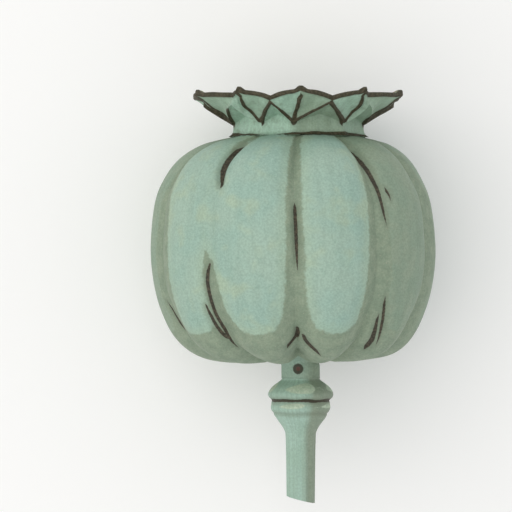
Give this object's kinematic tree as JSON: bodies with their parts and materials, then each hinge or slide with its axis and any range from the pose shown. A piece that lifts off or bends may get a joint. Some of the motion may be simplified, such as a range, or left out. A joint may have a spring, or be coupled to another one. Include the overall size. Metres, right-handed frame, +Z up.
{
  "type": "poppy seed head",
  "caption": "Cut poppy seed head lying on its side: a squat ribbed pod under a cupped crown of keeled rays, on a short stalk with a ringed knuckle.",
  "frame": {"origin": "middle of the bounding box, at the surface the head lies on", "axes": "+Z up, +Y along the head's long axis from the cut stalk towards the crown, X across it"},
  "size_m": [0.046, 0.0662, 0.0448],
  "materials": {
    "pod_skin": "waxy bloom over a dull grey-green skin",
    "crown_skin": "dull, velvety along the rays, brown at the margins",
    "stem_skin": "smooth and waxy, with long fine ridges"
  },
  "bodies": {
    "root": {"capsule": "pod_skin", "crown": "crown_skin", "stem": "stem_skin"}
  },
  "joints": []
}
